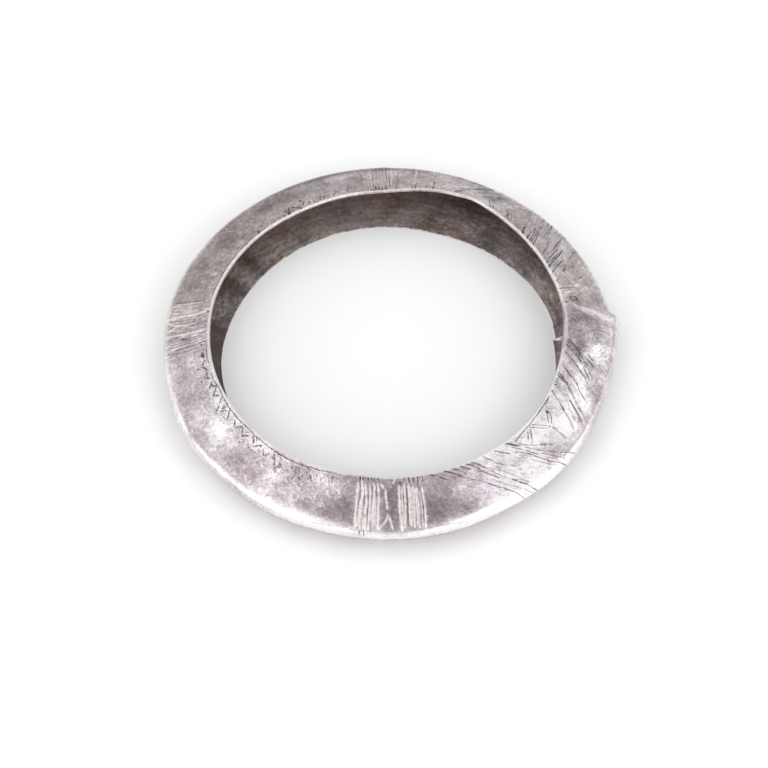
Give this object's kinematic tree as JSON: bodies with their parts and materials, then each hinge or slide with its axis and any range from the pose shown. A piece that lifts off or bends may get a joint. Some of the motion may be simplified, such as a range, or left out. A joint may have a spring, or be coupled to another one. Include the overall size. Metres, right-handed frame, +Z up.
{
  "type": "bracelet",
  "caption": "Round silver bracelet of sheet folded to a V-shaped hollow band, open towards the wrist, closed with a lapped joint.",
  "frame": {"origin": "centre of the footprint on the surface that the bracelet lies on", "axes": "+Z up through the wrist opening, +X towards the lapped joint, +Y away from the camera of the picture"},
  "size_m": [0.0814, 0.082, 0.0088],
  "materials": {
    "band": "worn silver with a grey tarnish, engraved on the faces, dull dark inside the fold"
  },
  "bodies": {
    "root": {"band": "band"}
  },
  "joints": []
}
